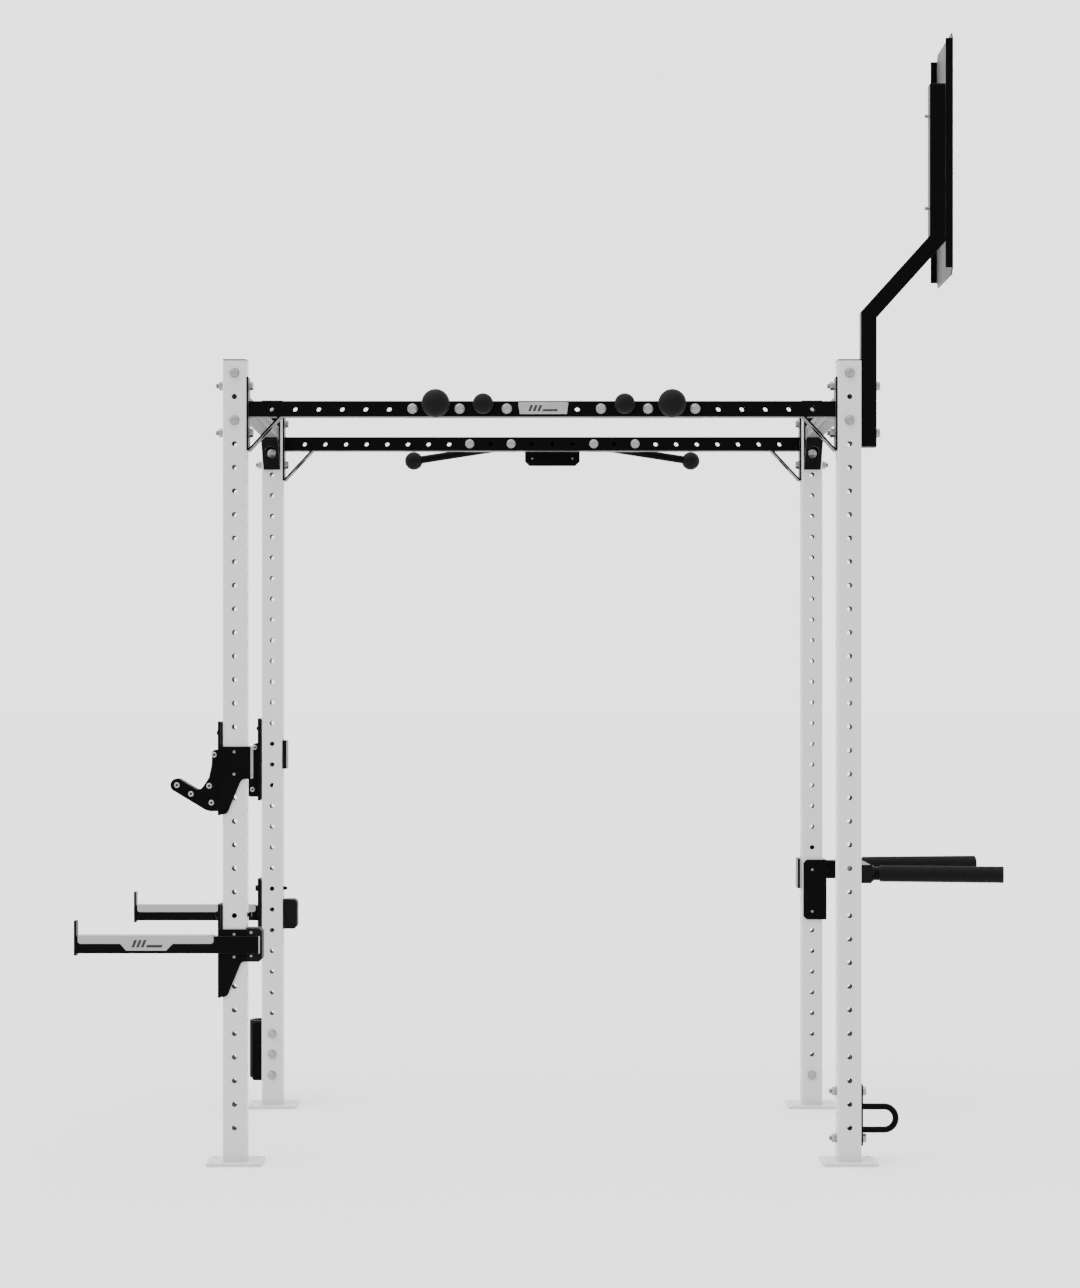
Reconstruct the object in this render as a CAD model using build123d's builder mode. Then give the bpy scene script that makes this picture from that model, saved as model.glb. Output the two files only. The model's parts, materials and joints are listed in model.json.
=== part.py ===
"""Four-post training rig: pull-up grips, swing-away bar cups and spotter arms, dip handles,
a throwing target, a rope anchor and an upright bar holder.

Millimetres. X runs right, Y runs to the rear and Z up. The origin is on the floor, midway
between the four uprights.
"""
import math
import os
from build123d import *

os.makedirs("parts", exist_ok=True)

# ---- driving dimensions
PITCH = 75.0                 # hole spacing, and the side of the upright's square tube
UPRIGHT_W = 75.0
WALL = 3.0
CORNER_R = 6.0
HOLE_R = 8.5                 # clearance holes for M16
POST_X = 978.0               # upright centres
POST_Y = 600.0
FOOT_W, FOOT_D, FOOT_T = 175.0, 150.0, 10.0
ANCHOR_R = 7.0
ANCHOR_X, ANCHOR_Y = 68.0, 56.0
UPRIGHT_TOP = 2557.5
CAP_T, SMALL_CAP_T = 4.0, 3.0
FIRST_HOLE = 117.5           # lowest hole in the front and rear faces
SIDE_HOLE = FIRST_HOLE - PITCH / 2
ROWS = 33

BEAM_W = 50.0                # beams, crossmembers and target post
BEAM_CORNER_R = 3.2
BEAM_Z = 2405.0
CROSS_Z = BEAM_Z + PITCH / 2
FLANGE_T = 6.0
FLANGE_W = 60.0
FLANGE_BELOW, FLANGE_ABOVE = 133.0, 102.0
GUSSET_RUN = 109.0
ACCESS_R = 20.0

BOLT_R, HEAD_AF, HEAD_H, NUT_H = 8.0, 24.0, 10.0, 13.0
WASHER_R, WASHER_T, THREAD_OUT = 16.0, 3.0, 9.0
FIT = 0.05                   # gap of a nut on its bolt
PIN_R = HOLE_R - 0.08        # a hanging pin turns in its hole
CLEAR = 0.4                  # gap between a swinging bracket and the upright

CUP_PIN_Z = 1373.0
ARM_PIN_Z = FIRST_HOLE + 9 * PITCH
DIP_PIN_Z = FIRST_HOLE + 11 * PITCH
IN_X = POST_X - UPRIGHT_W / 2
OUT_X = POST_X + UPRIGHT_W / 2
FRONT_Y = -POST_Y - UPRIGHT_W / 2
REAR_Y = POST_Y + UPRIGHT_W / 2
BEAM_FRONT_Y = -POST_Y - BEAM_W / 2
HALF = BEAM_W / 2

LINER_T, STEEL_T, SIDE_T = 6.0, 8.5, 6.0


# ---- helpers
def finish(piece, label):
    """Label a finished piece and write its STEP file."""
    piece.part.label = label
    export_step(piece.part, f"parts/{label}.step")


def block(x_span, y_span, z_span, mode=Mode.ADD):
    """A box between two limits on each axis, in the part being built."""
    spans = (x_span, y_span, z_span)
    with Locations(tuple(sum(span) / 2 for span in spans)):
        Box(*(abs(span[1] - span[0]) for span in spans), mode=mode)


def y_plane(y):
    """The XZ plane at depth y; its sketches extrude towards the front."""
    return Plane.XZ.offset(-y)


def slab(outline, y_span, radii=0.0, mode=Mode.ADD):
    """A flat plate with an outline of (x, z) points and rounded corners, between two depths."""
    corner_radii = radii if isinstance(radii, list) else [radii] * len(outline)
    with BuildSketch(y_plane(max(y_span))) as face:
        with BuildLine():
            FilletPolyline(*outline, radius=corner_radii, close=True)
        make_face()
    extrude(face.sketch, amount=max(y_span) - min(y_span), mode=mode)


def square_tube(plane, length, width, wall, corner):
    """A square tube whose section is centred on the plane's origin."""
    with BuildSketch(plane) as section:
        RectangleRounded(width, width, corner)
        RectangleRounded(width - 2 * wall, width - 2 * wall, corner - wall, mode=Mode.SUBTRACT)
    extrude(section.sketch, amount=length)


def cross_holes(plane, centres, radius, reach):
    """Holes through the part at the plane's (u, v) centres."""
    with BuildSketch(plane) as holes:
        with Locations(*centres):
            Circle(radius)
    extrude(holes.sketch, amount=reach, both=True, mode=Mode.SUBTRACT)


def rod(start, end, radius, mode=Mode.ADD):
    """A round bar between two points."""
    run = Vector(*end) - Vector(*start)
    with BuildSketch(Plane(origin=start, z_dir=run)) as section:
        Circle(radius)
    extrude(section.sketch, amount=run.length, mode=mode)


# ---- uprights, feet and caps
SIDES = {"left": -1, "right": 1}
ENDS = {"front": -1, "rear": 1}
FACE_ROWS = [FIRST_HOLE + row * PITCH for row in range(ROWS)]
SIDE_ROWS = {"right": [SIDE_HOLE + row * PITCH for row in range(ROWS)]}
# on the left, one side hole moves to the cups' pin and one is added for the arms' pin
SIDE_ROWS["left"] = [z for z in SIDE_ROWS["right"] if abs(z - CUP_PIN_Z) > PITCH / 3]
SIDE_ROWS["left"] += [ARM_PIN_Z, CUP_PIN_Z]

for end, y_sign in ENDS.items():
    for side, x_sign in SIDES.items():
        x, y = x_sign * POST_X, y_sign * POST_Y
        with BuildPart() as upright:
            square_tube(Plane((x, y, FOOT_T)), UPRIGHT_TOP - FOOT_T, UPRIGHT_W, WALL, CORNER_R)
            cross_holes(y_plane(y), [(x, z) for z in FACE_ROWS], HOLE_R, UPRIGHT_W)
            cross_holes(Plane.YZ.offset(x), [(y, z) for z in SIDE_ROWS[side]], HOLE_R, UPRIGHT_W)
        finish(upright, f"upright_{end}_{side}")

        with BuildPart() as foot:
            with BuildSketch(Plane((x, y, 0))):
                RectangleRounded(FOOT_W, FOOT_D, CORNER_R)
                with GridLocations(2 * ANCHOR_X, 2 * ANCHOR_Y, 2, 2):
                    Circle(ANCHOR_R, mode=Mode.SUBTRACT)
            extrude(amount=FOOT_T)
        finish(foot, f"foot_{end}_{side}")

TARGET_TOP, TARGET_FOOT = 3438.0, 2287.5
POST_LOW_X, POST_HIGH_X = OUT_X + HALF, 1259.6
POST_BEND_LOW, POST_BEND_HIGH = 2705.0, 2948.0

DIP_Z, DIP_TUBE = 862.0, 65.0
DIP_BAR_X = (1100.0, 1165.0)
DIP_BAR_HALF = 282.0
bar_x = sum(DIP_BAR_X) / 2

with BuildPart() as caps:
    for y_sign in ENDS.values():
        for x_sign in SIDES.values():
            with BuildSketch(Plane((x_sign * POST_X, y_sign * POST_Y, UPRIGHT_TOP))):
                RectangleRounded(UPRIGHT_W, UPRIGHT_W, CORNER_R)
            extrude(amount=CAP_T)
    fillet(caps.faces().group_by(Axis.Z)[-1].edges(), 0.8)
    for x, z in ((POST_HIGH_X, TARGET_TOP), (POST_LOW_X, TARGET_FOOT - SMALL_CAP_T)):
        with BuildSketch(Plane((x, -POST_Y, z))):
            RectangleRounded(BEAM_W, BEAM_W, BEAM_CORNER_R)
        extrude(amount=SMALL_CAP_T)
    for y_sign in ENDS.values():
        with BuildSketch(y_plane(POST_Y + y_sign * (DIP_BAR_HALF + SMALL_CAP_T / 2))):
            with Locations((bar_x, DIP_Z)):
                RectangleRounded(DIP_TUBE, DIP_TUBE, 5.0)
        extrude(amount=SMALL_CAP_T / 2, both=True)
finish(caps, "tube_caps")

# ---- long beams and crossmembers, with holes on the same pitch
BEAM_HALF = IN_X - FLANGE_T
CROSS_HALF = POST_Y - UPRIGHT_W / 2 - FLANGE_T
BEAM_HOLES = [(i + 0.5) * PITCH for i in range(-12, 12)]
CROSS_HOLES = [(i + 0.5) * PITCH for i in range(-7, 7)]

for end, y_sign in ENDS.items():
    with BuildPart() as beam:
        y = y_sign * POST_Y
        square_tube(Plane.YZ.offset(-BEAM_HALF) * Pos(y, BEAM_Z), 2 * BEAM_HALF, BEAM_W, WALL,
                    BEAM_CORNER_R)
        cross_holes(y_plane(y), [(x, BEAM_Z) for x in BEAM_HOLES], HOLE_R, BEAM_W)
    finish(beam, f"{end}_beam")

for side, x_sign in SIDES.items():
    with BuildPart() as crossmember:
        x = x_sign * POST_X
        square_tube(y_plane(CROSS_HALF) * Pos(x, CROSS_Z), 2 * CROSS_HALF, BEAM_W, WALL,
                    BEAM_CORNER_R)
        cross_holes(Plane.YZ.offset(x), [(y, CROSS_Z) for y in CROSS_HOLES], HOLE_R, BEAM_W)
    finish(crossmember, f"{side}_crossmember")


def end_plate(plane):
    """Bolting flange that folds under into a 45 degree gusset.

    The plane's x runs away from the upright, its y up, and its origin is on the upright's face
    level with the beam's axis.
    """
    t = FLANGE_T
    low, underside = -FLANGE_BELOW, -HALF
    toe = FLANGE_T + 2
    with BuildSketch(plane) as profile:
        with BuildLine():
            outer = [(0, FLANGE_ABOVE), (0, low), (toe, low), (GUSSET_RUN, underside)]
            inner = [(GUSSET_RUN - 1.4 * t, underside), (t, low + t), (t, FLANGE_ABOVE)]
            FilletPolyline(*outer, *inner, radius=[0, 4, 4, 0, 0, 0, 0], close=True)
        make_face()
    extrude(profile.sketch, amount=FLANGE_W / 2, both=True)


def end_plate_holes(plane):
    """The two bolt holes of a flange and the spanner hole in its gusset, along the plane's x."""
    facing = Plane(origin=plane.origin, x_dir=plane.z_dir, z_dir=plane.x_dir)
    for heights, radius, start, depth in (
            ((PITCH, -PITCH), HOLE_R, 0.0, 2 * FLANGE_T),
            ((-PITCH,), ACCESS_R, 2 * FLANGE_T, GUSSET_RUN)):
        with BuildSketch(facing.offset(start)) as holes:
            with Locations(*[facing.to_local_coords(plane.origin + plane.y_dir * h) for h in heights]):
                Circle(radius)
        extrude(holes.sketch, amount=depth, mode=Mode.SUBTRACT)


for end, y_sign in ENDS.items():
    planes = [Plane(origin=(x_sign * IN_X, y_sign * POST_Y, BEAM_Z),
                    x_dir=(-x_sign, 0, 0), z_dir=(0, x_sign, 0)) for x_sign in SIDES.values()]
    with BuildPart() as beam_flanges:
        for plane in planes:
            end_plate(plane)
        for plane in planes:
            end_plate_holes(plane)
    finish(beam_flanges, f"{end}_beam_flanges")

planes = [Plane(origin=(x_sign * POST_X, y_sign * (POST_Y - UPRIGHT_W / 2), CROSS_Z),
                x_dir=(0, -y_sign, 0), z_dir=(-y_sign, 0, 0))
          for x_sign in SIDES.values() for y_sign in ENDS.values()]
with BuildPart() as cross_flanges:
    for plane in planes:
        end_plate(plane)
    for plane in planes:
        end_plate_holes(plane)
finish(cross_flanges, "crossmember_flanges")

# ---- bolts: (head seat, direction of the shank, thickness held, has a nut)
RIGHT, LEFT, REARWARD, FORWARD = (1, 0, 0), (-1, 0, 0), (0, 1, 0), (0, -1, 0)
GRIP = UPRIGHT_W + FLANGE_T
GLOBE_BOLTS = [-412.5, -262.5, -112.5, 187.5, 337.5, 487.5]
PLATE_T = 6.0
GRIP_PLATE_T = 8.0
PANEL_X, PANEL_T, PANEL_FOLD = 1305.0, 3.6, 24.0
PANEL_STUDS, PANEL_SPACER_R = (3341.0, 3047.0), 15.0
TAPPED_OUT = 14.0            # a bolt without a nut shows this much of its end
ROPE_BOLTS = (SIDE_HOLE, SIDE_HOLE + 2 * PITCH)

bolt_list = []
for z in (BEAM_Z + PITCH, BEAM_Z - PITCH):
    for y in (-POST_Y, POST_Y):
        bolt_list.append(((-BEAM_HALF, y, z), LEFT, GRIP, True))
    bolt_list.append(((BEAM_HALF, POST_Y, z), RIGHT, GRIP, True))
    bolt_list.append(((OUT_X + BEAM_W, -POST_Y, z), LEFT, GRIP + BEAM_W, True))
for z in (CROSS_Z + PITCH, CROSS_Z - PITCH):
    for x in (-POST_X, POST_X):
        bolt_list.append(((x, FRONT_Y, z), REARWARD, GRIP, True))
        bolt_list.append(((x, REAR_Y, z), FORWARD, GRIP, True))
for x in GLOBE_BOLTS:
    bolt_list.append(((x, BEAM_FRONT_Y, BEAM_Z), REARWARD, BEAM_W + PLATE_T, True))
for x, has_nut in ((-262.5, True), (337.5, True), (-112.5, False), (187.5, False)):
    bolt_list.append(((x, POST_Y - HALF, BEAM_Z), REARWARD, BEAM_W + GRIP_PLATE_T, has_nut))
for z in ROPE_BOLTS:
    bolt_list.append(((OUT_X + PLATE_T, -POST_Y, z), LEFT, UPRIGHT_W + PLATE_T, True))
for z in FACE_ROWS[:3]:
    seat_y = POST_Y - UPRIGHT_W / 2
    bolt_list.append(((-POST_X, seat_y, z), REARWARD, UPRIGHT_W + GRIP_PLATE_T, True))
bolt_list.append(((POST_X, POST_Y - UPRIGHT_W / 2, FIRST_HOLE), REARWARD, UPRIGHT_W, True))


def seat_plane(seat, direction):
    """Plane on a bolt's seat, facing along its shank."""
    return Plane(origin=seat, x_dir=(0, 0, 1), z_dir=direction)


with BuildPart() as bolts:
    for seat, direction, held, has_nut in bolt_list:
        plane = seat_plane(seat, direction)
        tail = held + WASHER_T + NUT_H + THREAD_OUT if has_nut else held + TAPPED_OUT
        with BuildSketch(plane.offset(-WASHER_T)):
            Circle(BOLT_R)
        extrude(amount=WASHER_T + tail)
        with BuildSketch(plane.offset(-WASHER_T)):
            RegularPolygon(HEAD_AF / 2, 6, major_radius=False)
        extrude(amount=-HEAD_H)
finish(bolts, "hex_bolts")

with BuildPart() as washers:
    for seat, direction, held, has_nut in bolt_list:
        plane = seat_plane(seat, direction)
        for lift in (-WASHER_T, held) if has_nut else (-WASHER_T,):
            with BuildSketch(plane.offset(lift)):
                Circle(WASHER_R)
                Circle(BOLT_R + FIT, mode=Mode.SUBTRACT)
            extrude(amount=WASHER_T)
finish(washers, "washers")

with BuildPart() as nuts:
    for seat, direction, held, has_nut in bolt_list:
        if has_nut:
            with BuildSketch(seat_plane(seat, direction).offset(held + WASHER_T)):
                RegularPolygon(HEAD_AF / 2, 6, major_radius=False)
                Circle(BOLT_R + FIT, mode=Mode.SUBTRACT)
            extrude(amount=NUT_H)
finish(nuts, "hex_nuts")

# ---- globe grips on the front beam: a back plate with studs, and solid rubber balls
GLOBE_Z = 2419.0
GLOBES = {"large": (45.0, (-337.5, 412.5)), "small": (33.0, (-187.5, 262.5))}
GLOBE_SEAT = {"large": 37.0, "small": 24.0}
STUD_IN, GLOBE_PLATE_MARGIN = 20.0, 30.0

with BuildPart() as globe_plates:
    y_back = BEAM_FRONT_Y + BEAM_W
    for first_bolt, last_bolt in (GLOBE_BOLTS[:3:2], GLOBE_BOLTS[3::2]):
        left, right = first_bolt - GLOBE_PLATE_MARGIN, last_bolt + GLOBE_PLATE_MARGIN
        slab([(left, BEAM_Z - HALF), (right, BEAM_Z - HALF),
              (right, BEAM_Z + HALF), (left, BEAM_Z + HALF)], (y_back, y_back + PLATE_T), 8.0)
    for _, centres in GLOBES.values():
        for x in centres:
            rod((x, y_back + 1, BEAM_Z), (x, BEAM_FRONT_Y - STUD_IN, BEAM_Z), BOLT_R)
    cross_holes(y_plane(y_back), [(x, BEAM_Z) for x in GLOBE_BOLTS], HOLE_R, 2 * PLATE_T)
finish(globe_plates, "globe_back_plates")

for size, (radius, centres) in GLOBES.items():
    for side, x in zip(SIDES, centres):
        with BuildPart() as globe:
            with Locations((x, BEAM_FRONT_Y - GLOBE_SEAT[size], GLOBE_Z)):
                Sphere(radius)
            block((x - 60, x + 60), (BEAM_FRONT_Y, BEAM_FRONT_Y + 60),
                  (GLOBE_Z - 60, GLOBE_Z + 60), Mode.SUBTRACT)
            rod((x, BEAM_FRONT_Y, BEAM_Z), (x, BEAM_FRONT_Y - STUD_IN, BEAM_Z),
                BOLT_R + FIT, Mode.SUBTRACT)
        finish(globe, f"{size}_globe_{side}")

# ---- name plates: plain metal badges on the two beams
FRONT_BADGE_X, REAR_BADGE_X = 4.0, PITCH / 2
BADGE_T = 3.0
with BuildPart() as front_badge:
    top, low = BEAM_Z + 20, BEAM_Z - 17
    slab([(FRONT_BADGE_X - 75, low), (FRONT_BADGE_X + 75, low),
          (FRONT_BADGE_X + 80, top), (FRONT_BADGE_X - 80, top)],
         (BEAM_FRONT_Y - BADGE_T, BEAM_FRONT_Y), 3.0)
finish(front_badge, "front_badge")

REAR_BADGE_LOW, BADGE_CUT = 2329.0, 16.0
BADGE_SCREWS = [(REAR_BADGE_X + step, 2357.0) for step in (-73.0, 73.0)]
with BuildPart() as rear_badge:
    left, right, top = REAR_BADGE_X - 100, REAR_BADGE_X + 100, BEAM_Z + 20
    back = POST_Y + HALF
    slab([(left, REAR_BADGE_LOW + BADGE_CUT), (left + BADGE_CUT, REAR_BADGE_LOW),
          (right - BADGE_CUT, REAR_BADGE_LOW), (right, REAR_BADGE_LOW + BADGE_CUT),
          (right, top), (left, top)], (back, back + PLATE_T), 2.0)
finish(rear_badge, "rear_badge")

# ---- angled pull-up grips on the rear beam
GRIP_ROOT = (-1.5 * PITCH, BEAM_Z)
GRIP_BOLT_X, GRIP_PLATE_SPAN = -3.5 * PITCH, (-287.5, -87.5)
GRIP_BALL = (-471.0, 712.0, 2355.0)
GRIP_ROD_R, GRIP_BALL_R = 14.0, 33.0
plate_back = POST_Y + HALF + GRIP_PLATE_T
elbow = (GRIP_ROOT[0], plate_back + GRIP_ROD_R + 2, GRIP_ROOT[1])
ball_at = Vector(*GRIP_BALL)
grip_run = ball_at - Vector(*elbow)
rod_tip = ball_at - grip_run.normalized() * (GRIP_BALL_R - 12)

for side in SIDES:
    mirror_plane = Plane.YZ.offset(REAR_BADGE_X)
    with BuildPart() as grip:
        left, right = GRIP_PLATE_SPAN
        slab([(left, BEAM_Z - HALF), (right, BEAM_Z - HALF),
              (right, BEAM_Z + HALF), (left, BEAM_Z + HALF)],
             (POST_Y + HALF, plate_back), 8.0)
        rod((GRIP_ROOT[0], plate_back - 1, GRIP_ROOT[1]), elbow, GRIP_ROD_R)
        with Locations(elbow):
            Sphere(GRIP_ROD_R)
        rod(elbow, rod_tip, GRIP_ROD_R)
        cross_holes(y_plane(plate_back), [(GRIP_BOLT_X, BEAM_Z)], HOLE_R, 4 * GRIP_PLATE_T)
        rod((GRIP_ROOT[0], POST_Y, GRIP_ROOT[1]), (GRIP_ROOT[0], plate_back + 15, GRIP_ROOT[1]),
            BOLT_R + FIT, Mode.SUBTRACT)
        if side == "right":
            mirror(about=mirror_plane, mode=Mode.REPLACE)
    finish(grip, f"angled_grip_{side}")

    with BuildPart() as grip_ball:
        with Locations(Location(GRIP_BALL, (0, 0, 90))):
            Sphere(GRIP_BALL_R)
        rod((ball_at - grip_run.normalized() * 60), rod_tip,
            GRIP_ROD_R, Mode.SUBTRACT)
        if side == "right":
            mirror(about=mirror_plane, mode=Mode.REPLACE)
    finish(grip_ball, f"angled_grip_ball_{side}")


# ---- target post and target panel
def post_outline(half):
    """Outline of the twice-bent post, mitred at the bends, half its width each side."""
    turn = math.atan2(POST_HIGH_X - POST_LOW_X, POST_BEND_HIGH - POST_BEND_LOW)
    shift = half * math.tan(turn / 2)
    left = [(POST_LOW_X - half, TARGET_FOOT), (POST_LOW_X - half, POST_BEND_LOW + shift),
            (POST_HIGH_X - half, POST_BEND_HIGH + shift), (POST_HIGH_X - half, TARGET_TOP)]
    right = [(POST_HIGH_X + half, TARGET_TOP), (POST_HIGH_X + half, POST_BEND_HIGH - shift),
             (POST_LOW_X + half, POST_BEND_LOW - shift), (POST_LOW_X + half, TARGET_FOOT)]
    return left + right


with BuildPart() as target_post:
    slab(post_outline(HALF), (-POST_Y - HALF, -POST_Y + HALF))
    fillet(target_post.edges().filter_by(Axis.Y, reverse=True).group_by(Axis.Y)[0], BEAM_CORNER_R)
    fillet(target_post.edges().filter_by(Axis.Y, reverse=True).group_by(Axis.Y)[-1], BEAM_CORNER_R)
    slab(post_outline(HALF - WALL), (-POST_Y - HALF + WALL, -POST_Y + HALF - WALL),
         mode=Mode.SUBTRACT)
    cross_holes(Plane.YZ.offset(POST_LOW_X),
                [(-POST_Y, BEAM_Z + PITCH), (-POST_Y, BEAM_Z - PITCH)], HOLE_R, BEAM_W)
finish(target_post, "target_post")

PANEL_Y = (-POST_Y - HALF, -290.0)
PANEL_Z = (2835.0, 3606.0)
PANEL_CORNER = 20.0
PANEL_BACK = PANEL_X + PANEL_T - PANEL_FOLD
with BuildPart() as target_panel:
    with BuildSketch(Plane.YZ.offset(PANEL_X)):
        with BuildLine():
            (near, far), (low, top), cut = PANEL_Y, PANEL_Z, PANEL_CORNER
            Polyline((near, low + cut), (near + cut, low), (far - cut, low), (far, low + cut),
                     (far, top - cut), (far - cut, top), (near + cut, top), (near, top - cut),
                     close=True)
        make_face()
    extrude(amount=PANEL_T)
    straight = (PANEL_Z[0] + PANEL_CORNER, PANEL_Z[1] - PANEL_CORNER)
    depth = (PANEL_BACK, PANEL_X + 1)
    block(depth, (PANEL_Y[0], PANEL_Y[0] + PANEL_T), straight)
    block(depth, (PANEL_Y[1] - PANEL_T, PANEL_Y[1]), straight)
    for z in PANEL_STUDS:
        rod((POST_HIGH_X + HALF, -POST_Y, z), (PANEL_X + 1, -POST_Y, z), PANEL_SPACER_R)
finish(target_panel, "target_panel")

# ---- rope anchor at the foot of the front right upright
ROPE_Z, ROPE_BAR_R, ROPE_BEND, ROPE_REACH = 143.5, 10.0, 37.0, 1091.5
ROPE_PLATE_X, ROPE_PLATE_Z = OUT_X + PLATE_T, (58.0, 254.0)
with BuildPart() as rope_anchor:
    block((OUT_X, ROPE_PLATE_X), (-POST_Y - FLANGE_W / 2, -POST_Y + FLANGE_W / 2), ROPE_PLATE_Z)
    fillet(rope_anchor.edges().filter_by(Axis.X), 8.0)
    with BuildLine(y_plane(-POST_Y)):
        high, low = ROPE_Z + ROPE_BEND, ROPE_Z - ROPE_BEND
        Line((ROPE_PLATE_X - 1, high), (ROPE_REACH, high))
        ThreePointArc((ROPE_REACH, high), (ROPE_REACH + ROPE_BEND, ROPE_Z), (ROPE_REACH, low))
        Line((ROPE_REACH, low), (ROPE_PLATE_X - 1, low))
    with BuildSketch(Plane(origin=(ROPE_PLATE_X - 1, -POST_Y, high), z_dir=(1, 0, 0))):
        Circle(ROPE_BAR_R)
    sweep()
    cross_holes(Plane.YZ.offset(OUT_X), [(-POST_Y, z) for z in ROPE_BOLTS], HOLE_R, 2 * PLATE_T)
finish(rope_anchor, "rope_anchor")

# ---- upright bar holder behind the rear left upright
HOLDER_X, HOLDER_R, HOLDER_BORE = -1032.0, 40.0, 30.0
HOLDER_Z = (96.0, 306.0)
HOLDER_FLOOR = 6.0
HOLDER_PLATE_X, HOLDER_PLATE_Z = (-1058.0, -942.0), (88.0, 300.0)
HOLDER_Y = REAR_Y + GRIP_PLATE_T + HOLDER_R - 1
with BuildPart() as bar_holder:
    block(HOLDER_PLATE_X, (REAR_Y, REAR_Y + GRIP_PLATE_T), HOLDER_PLATE_Z)
    fillet(bar_holder.edges().filter_by(Axis.Y), 8.0)
    rod((HOLDER_X, HOLDER_Y, HOLDER_Z[0]), (HOLDER_X, HOLDER_Y, HOLDER_Z[1]), HOLDER_R)
    rod((HOLDER_X, HOLDER_Y, HOLDER_Z[0] + HOLDER_FLOOR), (HOLDER_X, HOLDER_Y, HOLDER_Z[1]),
        HOLDER_BORE, Mode.SUBTRACT)
    cross_holes(y_plane(REAR_Y), [(-POST_X, z) for z in FACE_ROWS[:3]], HOLE_R, 2 * GRIP_PLATE_T)
finish(bar_holder, "bar_holder")

# ---- dip station on the rear right upright
HANG_UP, HANG_DOWN = 37.0, 261.0
DIP_FRONT_Y = POST_Y - UPRIGHT_W / 2
DIP_FACE_T = 7.0
DIP_LOW, DIP_SIDE_TOP = DIP_PIN_Z - HANG_DOWN, 898.0
DIP_OUT_X = OUT_X + LINER_T + STEEL_T
DIP_IN_X = IN_X - LINER_T - STEEL_T
DIP_LIP_Z = (794.0, 902.0)
DIP_PLATE_X, DIP_PLATE_TOP_X, DIP_CHAMFER = 946.0, 1010.0, 12.0
with BuildPart() as dip_bracket:
    side_y = (DIP_FRONT_Y - DIP_FACE_T, REAR_Y + DIP_FACE_T)
    cut_x = DIP_PLATE_X + DIP_CHAMFER
    slab([(DIP_OUT_X, DIP_LOW), (DIP_OUT_X, DIP_SIDE_TOP), (cut_x, DIP_SIDE_TOP),
          (DIP_PLATE_X, DIP_SIDE_TOP - DIP_CHAMFER), (DIP_PLATE_X, DIP_LOW + DIP_CHAMFER),
          (cut_x, DIP_LOW)], (side_y[0], DIP_FRONT_Y))
    slab([(DIP_OUT_X, DIP_LOW), (DIP_OUT_X, DIP_SIDE_TOP), (DIP_PLATE_TOP_X, DIP_SIDE_TOP),
          (DIP_PLATE_TOP_X, DIP_PIN_Z + HANG_UP), (DIP_PLATE_X, DIP_PIN_Z + HANG_UP),
          (DIP_PLATE_X, DIP_LIP_Z[1]), (DIP_IN_X, DIP_LIP_Z[1]), (DIP_IN_X, DIP_LIP_Z[0]),
          (DIP_PLATE_X, DIP_LIP_Z[0]), (DIP_PLATE_X, DIP_LOW)], (REAR_Y, side_y[1]))
    block((DIP_OUT_X - STEEL_T, DIP_OUT_X), side_y, (DIP_LOW, DIP_SIDE_TOP))
    block((DIP_IN_X, DIP_IN_X + STEEL_T), (DIP_FRONT_Y, side_y[1]), DIP_LIP_Z)
    rod((POST_X, REAR_Y + 1, DIP_PIN_Z), (POST_X, DIP_FRONT_Y + WALL, DIP_PIN_Z), PIN_R)
finish(dip_bracket, "dip_bracket")

with BuildPart() as dip_liners:
    block((OUT_X, OUT_X + LINER_T), (DIP_FRONT_Y, REAR_Y), (DIP_LOW + 4, DIP_SIDE_TOP - 4))
    block((IN_X - LINER_T, IN_X), (DIP_FRONT_Y, REAR_Y), DIP_LIP_Z)
finish(dip_liners, "dip_liners")

DIP_ROOT, DIP_TIP = 250.0, 323.0
DIP_END_X = 1628.0
HANDLE_R, HANDLE_GRIP_R = 24.0, 29.5
GRIP_START_X = 1196.0


def handle_point(y_sign, x):
    """The point of a dip handle's axis at distance x to the right."""
    share = (x - DIP_BAR_X[1]) / (DIP_END_X - DIP_BAR_X[1])
    return Vector(x, POST_Y + y_sign * (DIP_ROOT + share * (DIP_TIP - DIP_ROOT)), DIP_Z)


with BuildPart() as dip_yoke:
    stem_length = DIP_BAR_X[0] - DIP_OUT_X + 1
    square_tube(Plane.YZ.offset(DIP_OUT_X) * Pos(POST_Y, DIP_Z), stem_length, DIP_TUBE, WALL, 5.0)
    square_tube(y_plane(POST_Y + DIP_BAR_HALF) * Pos(bar_x, DIP_Z), 2 * DIP_BAR_HALF,
                DIP_TUBE, WALL, 5.0)
    for y_sign in ENDS.values():
        start, stop = handle_point(y_sign, DIP_BAR_X[1] - 2), handle_point(y_sign, DIP_END_X - 8)
        rod(start, stop, HANDLE_R)
        collar = handle_point(y_sign, DIP_BAR_X[1] + 9)
        rod(start, collar, HANDLE_R + 4)
finish(dip_yoke, "dip_yoke")

for name, y_sign in (("near", -1), ("far", 1)):
    with BuildPart() as sleeve:
        start = handle_point(y_sign, GRIP_START_X)
        core_end, stop = handle_point(y_sign, DIP_END_X - 8), handle_point(y_sign, DIP_END_X - 4)
        rod(start, stop, HANDLE_GRIP_R)
        fillet(sleeve.edges().sort_by(Axis.X)[-1], 3.0)
        rod(start, core_end, HANDLE_R, Mode.SUBTRACT)
    finish(sleeve, f"dip_grip_{name}")

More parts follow.
